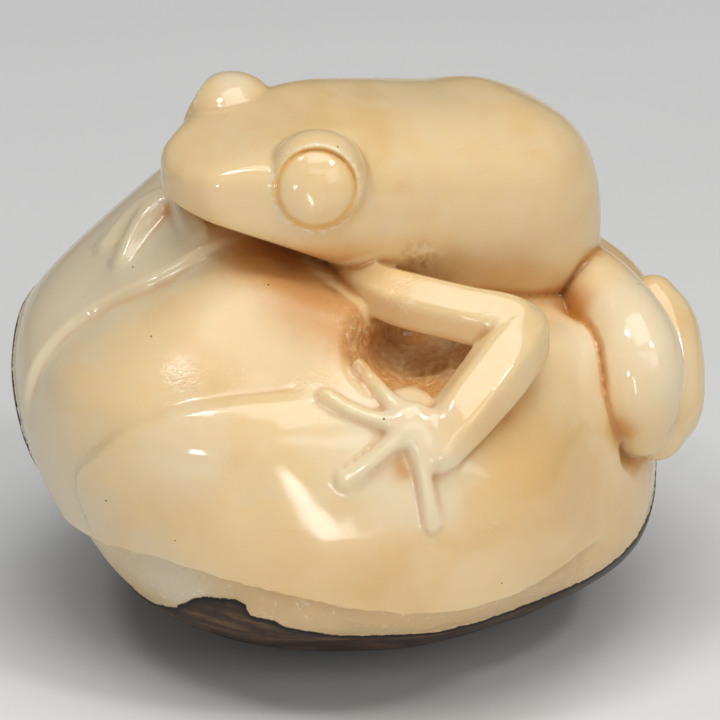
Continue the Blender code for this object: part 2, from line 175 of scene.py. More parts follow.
# A hind leg lies on the nut: forward, to the side, up, how high above the nut, half width.
THIGH = (
    (-25.5, 4.4, -13.8, -0.3, 3.0),
    (-25.0, 8.1, -14.8, 0.3, 3.1),
    (-23.6, 13.2, -15.9, 1.1, 3.2),
    (-23.1, 15.9, -17.6, 1.9, 3.3),
    (-23.4, 17.0, -20.3, 1.8, 3.1),
    (-24.2, 16.6, -22.9, 1.0, 2.5),
)
SHANK = (
    (-25.4, 15.8, -24.2, 0.9, 2.1),
    (-27.7, 13.1, -23.4, 1.4, 2.3),
    (-29.0, 11.0, -20.9, 1.3, 2.4),
    (-29.3, 8.8, -18.7, 0.8, 2.3),
    (-29.5, 7.2, -17.3, 0.2, 1.9),
)
FAR_LEG_LIFT = 0.3

# A hand or foot: where the palm lies, which way it points, and its digits, each as the angle
# from that way, how far it bends aside and how far it is raised by its tip, length, half width
# and half width of the pad.
NEAR_PALM, NEAR_HAND_WAY = (4.0, -20.2, 25.2), (-0.66, 0.0, -0.75)
NEAR_DIGITS = ((-95, -0.3, 1.5, 6.0, 0.6, 0.6), (-54, -1.5, 0, 6.9, 0.5, 0.7),
               (-14, 0.2, 0, 6.2, 0.6, 0.85), (47, 0.3, 0, 6.8, 0.55, 0.65))
FAR_PALM, FAR_HAND_WAY = (-13.0, 0.4, 34.0), (-0.55, -0.83, -0.1)
FAR_DIGITS = ((-54, 0, 0, 6.2, 0.9, 1.1), (-29, 0, 0, 6.6, 0.9, 1.1),
              (34, 0, 0, 6.0, 0.9, 1.1), (62, 0, 0, 6.2, 0.9, 1.0))
FOOT_DIGITS = ((-48, 0, 0, 5.6, 0.7, 1.0), (-16, 0, 0, 7.2, 0.7, 1.0),
               (16, 0, 0, 7.4, 0.7, 1.0), (48, 0, 0, 5.8, 0.7, 1.0))
FOOT_TOWARDS, FOOT_LENGTH = (-32.5, 4.0, -25.0), 4.5
PALM_HALF_WIDTH, PALM_HALF_THICKNESS, PALM_LIFT = 1.7, 1.05, 0.25
HEEL_OF_HAND, HEEL_SUNK, FAR_HAND_SUNK = 2.3, 2.3, 0.2
HEEL_LIFT, FOOT_LIFT = 0.8, 0.6
# Where a digit is measured, as shares of its length; its thickness and how high it lies there.
DIGIT_STATIONS, DIGIT_ROOT = (0.05, 0.4, 0.75, 1.0), 1.0
DIGIT_FLATNESS, DIGIT_LIFTS = (1.0, 1.3, 1.05, 0.6), (0.4, 0.35, 0.25, 0.2)

# The skin left on the underside: its upper edge as azimuth from the front and height,
# how proud it stands and how ragged its edge is.
SKIN_EDGE = ((-180, 20.0), (-110, 25.0), (-93, 24.6), (-80, 21.5), (-76.5, 20.0), (-73, 10.0), (-60, 7.0),
             (-50, 7.0), (-40, 8.3), (-34.8, 9.9), (-30.8, 10.8), (-24.6, 11.2), (-21.8, 10.8), (-21.4, 10.1),
             (-17.8, 9.8), (-12.1, 8.7), (-4.4, 7.5), (8.5, 7.3), (25.6, 7.8), (37.4, 8.2), (44.4, 8.5),
             (52.6, 9.1), (60, 9.6), (70, 10.4), (90, 12.0), (130, 16.0))
SKIN_PROUD, SKIN_RAGGED, SKIN_RAG_SIZE = 0.18, 0.22, 1.1

# The tool's work on the surface: how far it moves it and the size of its waves. Paring is
# everywhere, torn grain in the rough places, chipping on the band under the lip.
PARING = ((0.035, 3.6), (0.012, 1.3))
TORN_GRAIN = ((0.17, 1.0), (0.14, 0.45))
CHIPPING = ((0.05, 0.9), (0.03, 0.4))

# Rough places, where the grain of the seed was torn and not polished: middle and radius.
TORN = {
    "hollow": ((4.8, -11.3, 27.6), 4.4),
    "beside the hollow": ((0.4, -13.0, 28.9), 2.0),
    "arm root": ((4.3, -7.9, 33.0), 1.1),
}

# Colour and finish laid on the seed by place: middle and radius. The amber and brown places are
# stain and painted shade together, under the jaw, about the arm and its hollow, between the fingers
# and along the thigh's groove; the scratched places carry white crumbs that are partly painted
# highlights. The near arm is kept clear of the amber and brown.
STAINS_AND_SHADE = ("amber", "brown")
TINTS = {
    "pale": (((-12.4, -6.5, 33.5), 3.0), ((-15.5, -5.0, 32.0), 3.0), ((1.5, -21.3, 24.6), 5.0),
             ((5.0, -22.0, 20.5), 3.0), ((19.5, -6.0, 26.0), 5.0), ((24.5, -5.0, 24.0), 5.0),
             ((-9.5, 1.0, 42.5), 2.0), ((-12.0, -17.5, 22.0), 4.0)),
    "grey": (((-20.5, 0.0, 30.0), 8.0), ((-25.0, -5.0, 22.0), 6.0), ((-17.0, 4.0, 32.0), 8.0),
             ((-22.0, -12.0, 15.0), 6.0), ((-14.0, -18.5, 11.0), 4.0)),
    "amber": (((-3.6, -10.5, 32.2), 4.0), ((-7.0, -7.0, 33.4), 3.4), ((0.0, -12.6, 30.1), 3.4),
              ((3.3, -20.8, 22.2), 1.2), ((3.0, -14.0, 26.6), 2.4), ((16.4, -2.6, 26.3), 2.0),
              ((18.0, -7.0, 22.5), 1.6), ((19.4, -8.9, 19.4), 1.5), ((23.8, -7.9, 18.7), 0.8),
              ((5.0, -9.5, 33.2), 1.8), ((12.5, -6.0, 29.0), 3.0), ((1.2, -12.8, 28.6), 3.0),
              ((4.5, -14.5, 26.0), 2.5)),
    "brown": (((6.2, -9.8, 29.6), 3.4), ((-5.0, -8.6, 33.6), 1.2), ((-1.5, -9.8, 32.0), 1.2)),
    "honeyed": (((-5.0, -20.0, 15.5), 4.0), ((1.0, -20.5, 14.0), 3.5), ((-13.0, -16.0, 18.0), 4.0),
                ((12.0, -17.0, 20.0), 5.0), ((17.0, -10.0, 12.0), 4.0)),
    "dull": (((-7.5, -12.0, 30.0), 6.0), ((-1.5, -12.5, 30.5), 4.0), ((-12.5, -11.0, 30.0), 3.0)),
    "scratched_and_glinting": (((-13.0, -15.3, 26.4), 1.5), ((-3.4, -17.6, 26.8), 1.8), ((3.0, -11.8, 32.0), 2.2),
                  ((9.3, -21.0, 17.5), 1.2), ((9.2, -13.6, 30.9), 1.2)),
}

# Working of the surface: cell size of the fused form, passes of polishing, kept triangles.
CELL = 0.2
POLISH_PASSES = 7
KEPT_TRIANGLES = 188000
# How often the surface is smoothed to find how far a crease and then a nook lie below it.
SUNK_PASSES, SUNK_SHARE, NOOK_PERCENTILE = (24, 176), 0.7, 96
# Where no triangle is given up: middle and radius, out to where this much of a place is left.
FINE_ABOVE = 0.35
FINE_WORK = {
    "near eye": ((-4.0, -11.0, 40.0), 4.6),
    "far eye": ((-9.6, 1.8, 40.0), 4.6),
    "near hand": ((1.5, -19.8, 24.5), 7.0),
    "hollow": ((4.0, -12.0, 28.5), 5.0),
}


def unit(vectors):
    """Vectors scaled to length 1."""
    vectors = np.asarray(vectors, float)
    return vectors / np.linalg.norm(vectors, axis=-1, keepdims=True)


def ease(share):
    """0 below 0, 1 above 1, and a smooth rise between."""
    share = np.clip(share, 0, 1)
    return share * share * (3 - 2 * share)


def near(points, middle, radius):
    """1 at a middle, falling smoothly to almost 0 at about twice the radius."""
    away = np.linalg.norm(points - np.asarray(middle), axis=-1)
    return np.exp(-((away / radius) ** 2))


def grain(points, size, seed=0):
    """Smooth noise from -1 to 1: random values on a cubic lattice, eased between its corners."""
    values = np.random.default_rng(seed).uniform(-1, 1, 4096)
    place = points / size + 500.0
    cell = np.floor(place).astype(np.int64)
    share = ease(place - cell)
    total = np.zeros(len(points))
    for corner in np.ndindex(2, 2, 2):
        x, y, z = (cell + corner).T
        value = values[(x * 73856093 ^ y * 19349663 ^ z * 83492791) % 4096]
        total += value * np.prod(np.where(corner, share, 1 - share), axis=1)
    return total


def flowing(rows, count):
    """A smooth curve through every row, read at evenly spaced steps."""
    rows = np.asarray(rows, float)
    padded = np.vstack([2 * rows[0] - rows[1], rows, 2 * rows[-1] - rows[-2]])
    along = np.linspace(0, len(rows) - 1, count)
    index = np.minimum(along.astype(int), len(rows) - 2)
    share = (along - index)[:, None]
    before, start, end, after = (padded[index + k] for k in range(4))
    cubic = 3 * (start - end) + after - before
    square = 2 * before - 5 * start + 4 * end - after
    return start + 0.5 * share * (end - before + share * (square + share * cubic))


def skinned(rings):
    """Corners and faces of a stack of rings, with a face over each end."""
    count, sides = rings.shape[:2]
    grid = np.arange(count * sides).reshape(count, sides)
    beside_it = np.roll(grid, -1, axis=1)
    quads = np.stack([grid[:-1], beside_it[:-1], beside_it[1:], grid[1:]], -1).reshape(-1, 4)
    return rings.reshape(-1, 3), quads.tolist() + [grid[0][::-1].tolist(), grid[-1].tolist()]


def in_frog(points):
    """Points given forward, left and up from between the eyes, in the nut's axes."""
    points = np.asarray(points, float)
    return BETWEEN_EYES + points @ np.array([FORWARD, LEFT, UP])


def heading(azimuth, elevation):
    """The direction at an azimuth from the front towards +X and an elevation."""
    around, above = np.radians(azimuth), np.radians(elevation)
    return np.array([np.cos(above) * np.sin(around), -np.cos(above) * np.cos(around), np.sin(above)])


def beside(points, line):
    """How far points lie to the left of a line drawn on the nut, and their share of its length."""
    line = flowing(line, 24 * len(line))
    way = unit(np.gradient(line, axis=0))
    left = np.cross(unit(line - CORE), way)
    nearest = np.empty(len(points), int)
    for first in range(0, len(points), 4096):
        some = slice(first, first + 4096)
        nearest[some] = (points[some] @ line.T * -2 + (line**2).sum(1)).argmin(1)
    away = np.einsum("ij,ij->i", points - line[nearest], left[nearest])
    return away, nearest / (len(line) - 1)


def carved_in(points):
    """How deep the nut is carved below its broad form at points on it."""
    depth = np.zeros(len(points))
    for name, (line, (at_start, at_end), drop, fade) in EDGES.items():
        away, share = beside(points, line)
        ends = ease(share / RUN_OUT) * ease((1 - share) / RUN_OUT)
        step_down = ease(away / drop + 0.5) * np.exp(-np.maximum(away, 0) / fade)
        depth += ends * (at_start + (at_end - at_start) * share) * step_down
        if name == "roll":
            depth -= ends * ROLL_SWELL * np.exp(-(((away + ROLL_SWELL_AWAY) / ROLL_SWELL_WIDTH) ** 2))
    off = points - HOLLOW_AT
    across, down = off[:, 0] / HOLLOW_WIDE, off @ HOLLOW_DOWN / HOLLOW_HIGH
    in_front = ease(points[:, 1] / HOLLOW_AT[1] * 2)
    depth += HOLLOW_DEEP * np.exp(-((across**2 + down**2) ** HOLLOW_WALLS)) * in_front
    along = np.array(GROOVE_TO) - GROOVE_FROM
    share = np.clip((points - GROOVE_FROM) @ along / (along @ along), 0, 1)
    off = np.linalg.norm(points - GROOVE_FROM - share[:, None] * along, axis=1)
    return depth + GROOVE_DEEP * np.exp(-((off / GROOVE_WIDE) ** 2))


def belly(ways):
    """How far the nut's belly swells out in each direction."""
    above = np.degrees(np.arcsin(ways[:, 2]))
    around = np.degrees(np.arctan2(ways[:, 0], -ways[:, 1]))
    down = ease((BELLY_ABOVE - above) / (BELLY_ABOVE - BELLY_FULLEST))
    under = ease((above - BELLY_BELOW) / (BELLY_FULLEST - BELLY_BELOW))
    start, full, last, end = BELLY_AROUND
    sideways = ease((around - start) / (full - start)) * ease((end - around) / (end - last))
    return BELLY_OUT * down * under * sideways


def nut_reach(directions):
    """Distance from the core to the nut's surface: a squared egg, trimmed softly by the cuts."""
    ways = unit(directions).reshape(-1, 3)
    reach = np.where(ways > 0, (REACH_RIGHT, REACH_BACK, REACH_UP), (REACH_LEFT, REACH_FRONT, REACH_DOWN))
    gauge = (np.abs(ways / reach) ** NUT_SQUARENESS).sum(1) ** (CUT_CRISPNESS / NUT_SQUARENESS)
    for azimuth, elevation, distance in CUTS.values():
        gauge += np.maximum(ways @ heading(azimuth, elevation) / distance, 0) ** CUT_CRISPNESS
    broad = gauge ** (-1 / CUT_CRISPNESS) + belly(ways)
    gauge = broad**-CUT_CRISPNESS
    for azimuth, elevation, distance in TRIMS.values():
        gauge += np.maximum(ways @ heading(azimuth, elevation) / distance, 0) ** CUT_CRISPNESS
    broad = gauge ** (-1 / CUT_CRISPNESS)
    carved = broad - carved_in(CORE + ways * broad[:, None])
    return carved.reshape(np.shape(directions)[:-1])


def laid(points, lift):
    """Points moved towards or away from the core until they lie on the nut, plus a lift."""
    ways = unit(np.asarray(points, float) - CORE)
    return CORE + ways * (nut_reach(ways) + lift)[..., None]


def directions(rows):
    """Unit vectors all around: rings from the top down, twice as many steps around as rows."""
    down = np.linspace(0, np.pi, rows)[1:-1, None]
    around = np.linspace(0, 2 * np.pi, 2 * rows, endpoint=False)[None]
    return np.stack([np.sin(down) * np.cos(around), np.sin(down) * np.sin(around),
                     np.cos(down) + 0 * around], -1)


def nut(rows=260):
    """The nut: its reach in every direction from the core."""
    ways = directions(rows)
    return skinned(CORE + ways * nut_reach(ways)[..., None])


def trunk(sides=128, count=220):
    """Head and trunk: superellipse sections carried from the snout to the rump."""
    columns = flowing(SECTIONS, count).T[:, :, None]
    forward, level, half_width, top, bottom, squareness = columns
    around = np.linspace(0, 2 * np.pi, sides, endpoint=False)
    squareness = squareness + HEAD_CRISP * ease((forward - 1.0) / 4) * (np.sin(around) > 0)
    across = np.sign(np.cos(around)) * np.abs(np.cos(around)) ** (2 / squareness)
    above = np.sign(np.sin(around)) * np.abs(np.sin(around)) ** (2 / squareness)
    height = np.where(above > 0, top - level, level - bottom)
    rings = np.stack([forward + 0 * across, half_width * across, level + height * above], -1)
    return skinned(in_frog(rings))


def ball(centre, radius, rows=48):
    """A round ball: a radius out from its centre every way."""
    return skinned(np.asarray(centre) + radius * directions(rows))


def eyeball_centre(side):
    """Where the ball of the left (1) or right (-1) eye has its centre."""
    return in_frog((np.array(EYE_AT) + EYEBALL_SHIFT + EYEBALL_OUT * unit(LOOK)) * (1, side, 1))


def eye(side):
    """The mound and the ball of one eye, on the left (1) or the right (-1)."""
    mound = ball(in_frog(np.array(EYE_AT) * (1, side, 1)), MOUND_RADIUS)
    return [mound, ball(eyeball_centre(side), EYEBALL_RADIUS)]


def limb(rows, over=UP, flats=0, sides=36, steps=16, cap=8):
    """A round-ended limb: a section carried along a smooth line of x, y, z, width, thickness.

    The section is an oval, or with flats an oval pared down to that many soft flats.
    """
    line = flowing(rows, steps * (len(rows) - 1) + 1)
    way = unit(np.gradient(line[:, :3], axis=0))
    turn = np.linspace(np.pi / 2, 0, cap, endpoint=False)[:, None]
    first, last = line[0], line[-1]
    start = np.hstack([first[:3] - way[0] * first[3] * np.sin(turn), first[3:] * np.cos(turn)])
    end = np.hstack([last[:3] + way[-1] * last[3] * np.sin(turn), last[3:] * np.cos(turn)])
    line = np.vstack([start, line, end[::-1]])
    line[:, 3:] = np.maximum(line[:, 3:], 0.05)
    way = np.vstack([np.repeat(way[:1], cap, 0), way, np.repeat(way[-1:], cap, 0)])
    across = unit(np.cross(way, over))
    above = np.cross(across, way)
    around = np.linspace(0, 2 * np.pi, sides, endpoint=False)[None, :, None]
    pared = 1.0
    if flats:
        from_flat = (around + FLATS_TURN) % (2 * np.pi / flats) - np.pi / flats
        pared = np.minimum(1.0, PARED * np.cos(np.pi / flats) / np.cos(from_flat))
    wide = across[:, None] * line[:, None, 3:4] * np.cos(around) * pared
    thick = above[:, None] * line[:, None, 4:5] * np.sin(around) * pared
    return skinned(line[:, None, :3] + wide + thick)


def arm(rows, side):
    """An arm from shoulder over the elbow to the wrist."""
    rows = np.array(rows) * (1, side, 1, 1, 1)
    return [limb(np.hstack([in_frog(rows[:, :3]), rows[:, 3:]]), flats=ARM_FLATS)]


def laid_limb(rows, side):
    """A round limb that lies on the nut, closer to it on the far side."""
    rows = np.array(rows) * (1, side, 1, 1 if side > 0 else FAR_LEG_LIFT, 1)
    points = laid(in_frog(rows[:, :3]), rows[:, 3])
    return limb(np.hstack([points, rows[:, 4:], rows[:, 4:]]), over=unit(points.mean(0) - CORE))


def hand(palm, way, digits, wrist, sunk_in=0.0):
    """A domed palm pressed on the nut, joined to its wrist, with its digits fanned out."""
    over = unit(np.asarray(palm, float) - CORE)
    dome = ball(laid(palm, -HEEL_SUNK - sunk_in), HEEL_OF_HAND)
    palm = laid(palm, PALM_LIFT - sunk_in)
    way = unit(way - over * (way @ over))
    side = np.cross(over, way)
    size = (PALM_HALF_WIDTH, PALM_HALF_THICKNESS)
    forms = [dome, limb(np.array([[*wrist, *size], [*palm, *size]]), over)]
    share = np.array(DIGIT_STATIONS)[:, None]
    for angle, bend, raised, length, half_width, pad in digits:
        turn = np.radians(angle)
        ahead = np.cos(turn) * way + np.sin(turn) * side
        aside = np.cos(turn) * side - np.sin(turn) * way
        lifts = np.array(DIGIT_LIFTS) + raised * share[:, 0] - sunk_in
        points = laid(palm + ahead * length * share + aside * bend * share**2, lifts)
        widths = np.array([DIGIT_ROOT, half_width, half_width, pad])
        thick = np.array([DIGIT_ROOT, half_width, half_width, half_width]) * DIGIT_FLATNESS
        forms.append(limb(np.column_stack([points, widths, thick]), over))
    return forms


def hind_leg(side):
    """A folded hind leg on the nut: thigh, shank and the foot behind them."""
    ankle = in_frog(np.array(SHANK[-1][:3]) * (1, side, 1))
    heel = laid(ankle, HEEL_LIFT)
    behind = in_frog(np.array(FOOT_TOWARDS) * (1, side, 1))
    palm = laid(heel + FOOT_LENGTH * unit(behind - heel), FOOT_LIFT)
    return [laid_limb(THIGH, side), laid_limb(SHANK, side)] + hand(palm, behind - heel, FOOT_DIGITS, heel)


def frog():
    """Every form of the frog."""
    forms = [trunk()] + eye(1) + eye(-1)
    forms += arm(NEAR_ARM, 1) + arm(FAR_ARM, -1)
    near_wrist = in_frog(NEAR_ARM[-1][:3])
    far_wrist = in_frog(np.array(FAR_ARM[-1][:3]) * (1, -1, 1))
    forms += hand(NEAR_PALM, np.array(NEAR_HAND_WAY), NEAR_DIGITS, near_wrist)
    forms += hand(FAR_PALM, np.array(FAR_HAND_WAY), FAR_DIGITS, far_wrist, FAR_HAND_SUNK)
    return forms + hind_leg(1) + hind_leg(-1)


def piece_of(name, points, faces):
    """A mesh object of these points and faces, linked into the scene."""
    mesh = bpy.data.meshes.new(name)
    mesh.from_pydata(points.tolist(), [], faces)
    piece = bpy.data.objects.new(name, mesh)
    bpy.context.scene.collection.objects.link(piece)
    return piece


def taken_from(piece):
    """Points and faces, as arrays, of a piece with its modifiers done; the piece is removed."""
    shaped = piece.evaluated_get(bpy.context.evaluated_depsgraph_get()).to_mesh()
    points = np.empty(len(shaped.vertices) * 3)
    shaped.vertices.foreach_get("co", points)
    sides = shaped.polygons[0].loop_total
    faces = np.empty(len(shaped.loops), np.int64)
    shaped.loops.foreach_get("vertex_index", faces)
    mesh = piece.data
    bpy.data.objects.remove(piece)
    bpy.data.meshes.remove(mesh)
    return points.reshape(-1, 3), faces.reshape(-1, sides)


def fused(forms, cell):
    """The union of closed forms: one skin of square faces a cell wide."""
    corners, faces = [], []
    count = 0
    for points, sides in forms:
        corners.append(points)
        faces += [[corner + count for corner in side] for side in sides]
        count += len(points)
    block = piece_of("forms", np.vstack(corners), faces)
    fuse = block.modifiers.new("fuse", "REMESH")
    fuse.mode = "VOXEL"
    fuse.voxel_size = cell
    return taken_from(block)


def edges_of(faces):
    """Each edge once, as a pair of corners."""
    pairs = np.stack([faces, np.roll(faces, -1, axis=1)], -1).reshape(-1, 2)
    return np.unique(np.sort(pairs, axis=1), axis=0)


def neighbour_mean(points, edges):
    """The mean of each point's neighbours."""
    ends, others = np.concatenate([edges, edges[:, ::-1]]).T
    count = np.bincount(ends, minlength=len(points))
    sums = [np.bincount(ends, column[others], len(points)) for column in points.T]
    return np.stack(sums, -1) / count[:, None]


def polished(points, edges, passes, share=0.5):
    """Points drawn towards their neighbours and a little back, which smooths but keeps the size."""
    for _ in range(passes):
        for pull in (share, -1.04 * share):
            points = points + pull * (neighbour_mean(points, edges) - points)
    return points


def normals_of(points, faces):
    """Outward direction at each point: the mean of the faces around it, by their area."""
    facing = np.cross(points[faces[:, 2]] - points[faces[:, 0]], points[faces[:, -1]] - points[faces[:, 1]])
    total = np.zeros_like(points)
    for corner in faces.T:
        total += np.stack([np.bincount(corner, part, len(points)) for part in facing.T], -1)
    return unit(total)


def blended(points, edges):
    """Points drawn towards their neighbours where the forms are worked into one another."""
    share = sum(much * near(points, middle, radius) for middle, radius, much in BLENDED.values())
    share = np.clip(share, 0, 1)[:, None]
    for _ in range(BLEND_PASSES):
        points = points + BLEND_SHARE * share * (neighbour_mean(points, edges) - points)
    return points


def eye_measures(points, side):
    """How far points lie ahead of an eye's middle, and how far around the way it looks."""
    look = unit(np.array(LOOK) * (1, side, 1)) @ np.array([FORWARD, LEFT, UP])
    off = points - eyeball_centre(side)
    ahead = off @ look
    return look, ahead, np.sqrt(np.maximum((off**2).sum(1) - ahead**2, 0))


def cleaned_eyes(points):
    """Each eyeball pared to a true low dome, with a level rim and the fine ring cut around it."""
    for side in (1, -1):
        look, ahead, around = eye_measures(points, side)
        facing = ease((ahead + 0.6) / 0.8)
        sag = np.sqrt(np.maximum(DOME_RADIUS**2 - np.minimum(around, RING_RADIUS) ** 2, 0))
        dome = DOME_LEVEL + sag - np.sqrt(DOME_RADIUS**2 - RING_RADIUS**2)
        on_dome = ease((RING_RADIUS + 0.35 - around) / 0.35) * facing
        at_ring = np.exp(-(((around - RING_RADIUS) / RING_WIDTH) ** 2)) * facing
        at_ring *= 0.75 + 0.35 * grain(points, 0.5, 3)
        points = points + look * (on_dome * (dome - ahead) - RING_DEPTH * at_ring)[:, None]
    return points


def eye_ring(points):
    """1 in the ring around an eye, falling to 0 beside it, and the same for its rim."""
    ring, rim = np.zeros(len(points)), np.zeros(len(points))
    for side in (1, -1):
        _, ahead, around = eye_measures(points, side)
        facing = ease((ahead + 0.6) / 0.8) * ease((5.0 - ahead) / 1.0)
        ring = np.maximum(ring, np.exp(-(((around - RING_RADIUS) / RING_STAIN_WIDTH) ** 2)) * facing)
        rim = np.maximum(rim, np.exp(-(((around - RING_RADIUS - RIM_OUT) / RIM_WIDTH) ** 2)) * facing)
    return ring, rim


def torn(points):
    """How torn the grain is at each point, from 0 to 1."""
    total = sum(near(points, middle, radius) for middle, radius in TORN.values())
    return np.clip(1.3 * total, 0, 1) * off_arm(points)


def off_arm(points):
    """0 on the near arm, rising to 1 just off it."""
    rows = flowing(in_frog(np.array(NEAR_ARM)[:, :3]), 60)
    free = np.ones(len(points))
    close = np.linalg.norm(points - rows.mean(0), axis=1) < 16
    apart = np.linalg.norm(points[close, None] - rows, axis=-1).min(1)
    free[close] = ease((apart - 2.5) / 0.8)
    return free


def above_skin(points):
    """How far points stand above the ragged upper edge of the seed skin."""
    azimuths, heights = np.array(SKIN_EDGE).T
    azimuth = np.degrees(np.arctan2(points[:, 0], -points[:, 1]))
    edge = np.interp(azimuth, azimuths, heights, period=360)
    rag = SKIN_RAGGED * (grain(points, SKIN_RAG_SIZE, 11) + 0.5 * grain(points, SKIN_RAG_SIZE / 3, 12))
    return points[:, 2] - edge + rag


def below_lip(points):
    """How far points lie below the lip's edge, and how much of the lip there is there."""
    away, share = beside(points, LIP_EDGE)
    return away, ease(share / RUN_OUT) * ease((1 - share) / RUN_OUT)


def waves(points, sizes, seed):
    """Noise in several sizes, each with how far it moves the surface, summed."""
    return sum(out * grain(points, size, seed + k) for k, (out, size) in enumerate(sizes))


def worked(points, normals):
    """The tool's work on the surface: soft waves of paring, torn grain, the skin's thickness."""
    out = waves(points, PARING, 1) + torn(points) * waves(points, TORN_GRAIN, 4)
    away, of_lip = below_lip(points)
    band = of_lip * ease(away / 0.6) * ease((7.0 - away) / 2)
    over = above_skin(points)
    out += band * ease(over / 0.4) * waves(points, CHIPPING, 6)
    out += SKIN_PROUD * ease(0.5 - over / 0.25)
    return points + normals * out[:, None]


def carving():
    """The whole carving: its forms fused, polished, worked over, thinned and set on its foot."""
    points, faces = fused([nut()] + frog(), CELL)
    edges = edges_of(faces)
    points = polished(blended(points, edges), edges, POLISH_PASSES)
    points = cleaned_eyes(points)
    points = worked(points, normals_of(points, faces))
    points = points - STANCE
    points[:, 2] = np.maximum(points[:, 2], 0)
    block = piece_of("worked", points, faces.tolist())
    fine = sum(near(points + STANCE, middle, radius) for middle, radius in FINE_WORK.values())
    fine = fine > FINE_ABOVE
    plain = block.vertex_groups.new(name="plain")
    plain.add(np.flatnonzero(~fine).tolist(), 1.0, "REPLACE")
    thin = block.modifiers.new("thin", "DECIMATE")
    thin.ratio = min(1.0, KEPT_TRIANGLES / (2 * len(faces)))
    thin.use_collapse_triangulate = True
    thin.vertex_group = "plain"
    thin.vertex_group_factor = 1.0
    points, faces = taken_from(block)
    piece = piece_of("carved_frog", points * MM, faces.tolist())
    mesh = piece.data
    mesh.shade_smooth()
    place = points + STANCE
    put(mesh, "torn", torn(place))
    put(mesh, "above_skin", above_skin(place))
    away, of_lip = below_lip(place)
    put(mesh, "band", of_lip * ease(away / 0.5) * ease((8.0 - away) / 2))
    crease, nook = sunk(points, faces)
    put(mesh, "crease", crease)
    put(mesh, "nook", nook / np.percentile(nook, NOOK_PERCENTILE))
    ring, rim = eye_ring(place)
    put(mesh, "ring", ring)
    put(mesh, "rim", rim)
    free = off_arm(place)
    for tint, places in TINTS.items():
        strength = np.clip(sum(near(place, middle, radius) for middle, radius in places), 0, 1)
        put(mesh, tint, strength * free if tint in STAINS_AND_SHADE else strength)
    return piece


def sunk(points, faces):
    """How deep each point lies in a crease a millimetre wide, and in a nook several wide."""
    edges = edges_of(faces)
    normals = normals_of(points, faces)
    soft = points
    depths = []
    for passes in SUNK_PASSES:
        for _ in range(passes):
            soft = soft + SUNK_SHARE * (neighbour_mean(soft, edges) - soft)
        depths.append(np.einsum("ij,ij->i", soft - points, normals))
    return depths


def put(mesh, name, values):
    """A value for each point of a mesh, under a name that the finish reads."""
    mesh.attributes.new(name, "FLOAT", "POINT").data.foreach_set("value", values)


class Field:
    """A value that varies over a surface. Sums, differences and products of fields add their nodes."""

    def __init__(self, finish, socket):
        self.finish = finish
        self.socket = socket

    def _with(self, operation, *values):
        return self.finish.add("ShaderNodeMath", {"operation": operation}, dict(enumerate(values)))

    def __add__(self, other):
        return self._with("ADD", self, other)

    def __sub__(self, other):
        return self._with("SUBTRACT", self, other)

    def __rsub__(self, other):
        return self._with("SUBTRACT", other, self)

    def __mul__(self, other):
        return self._with("MULTIPLY", self, other)

    __radd__ = __add__
    __rmul__ = __mul__

    def rise(self, low, high):
        """0 below low, 1 above high and smooth between; it falls where low is above high."""
        settings = {"interpolation_type": "SMOOTHSTEP"}
        if low > high:
            return 1 - self.rise(high, low)
        return self.finish.add("ShaderNodeMapRange", settings, {0: self, 1: low, 2: high})


class Finish:
    """A material under construction. `add` makes any node: its settings, then its sockets."""

    def __init__(self, name):
        self.material = bpy.data.materials.new(name)
        self.material.use_nodes = True
        self.nodes = self.material.node_tree.nodes
        self.links = self.material.node_tree.links
        self.shader = self.nodes["Principled BSDF"]
        self.place = self.add("ShaderNodeTexCoord", {}, {}, "Object")

    def add(self, kind, settings, inputs, output=0):
        node = self.nodes.new(kind)
        for name, value in settings.items():
            setattr(node, name, value)
        for name, value in inputs.items():
            self.feed(node.inputs[name], value)
        return Field(self, node.outputs[output])

    def feed(self, socket, value):
        if isinstance(value, Field):
            self.links.new(value.socket, socket)
        else:
            socket.default_value = value

    def attribute(self, name):
        """A value that the mesh carries at each point."""
        return self.add("ShaderNodeAttribute", {"attribute_name": name}, {}, "Fac")

    def noise(self, size, detail=2.0, roughness=0.5, place=None, distortion=0.0):
        """Cloudy noise from 0 to 1 whose clouds are about size millimetres wide."""
        inputs = {"Vector": place or self.place, "Scale": 1 / (size * MM), "Detail": detail,
                  "Roughness": roughness, "Distortion": distortion}
        return self.add("ShaderNodeTexNoise", {}, inputs)

    def stretched(self, sizes, turn=(0.0, 0.0, 0.0)):
        """Object coordinates turned and scaled, so that a pattern is drawn out along an axis."""
        inputs = {"Vector": self.place, "Rotation": turn, "Scale": sizes}
        return self.add("ShaderNodeMapping", {"vector_type": "TEXTURE"}, inputs)

    def specks(self, apart, radius, share, seed=0.0):
        """1 in small round specks: one in each cell, and only in a share of the cells."""
        place = self.add("ShaderNodeVectorMath", {"operation": "ADD"}, {0: self.place, 1: (seed, seed, seed)})
        cells = self.add("ShaderNodeTexVoronoi", {}, {"Vector": place, "Scale": 1 / (apart * MM)})
        colour = Field(self, cells.socket.node.outputs["Color"])
        chosen = self.add("ShaderNodeSeparateColor", {}, {0: colour})
        return cells.rise(radius / apart, 0.6 * radius / apart) * chosen.rise(share, share - 0.02)

    def mix(self, share, colour, other):
        """One colour where the share is 0 and the other where it is 1."""
        return self.add("ShaderNodeMix", {"data_type": "RGBA"}, {0: share, 6: colour, 7: other}, 2)


def paint(red, green, blue):
    """A colour as seen on a screen, 0 to 255, turned into light."""
    part = np.array([red, green, blue]) / 255
    light = np.where(part > 0.04045, ((part + 0.055) / 1.055) ** 2.4, part / 12.92)
    return (*light.tolist(), 1.0)


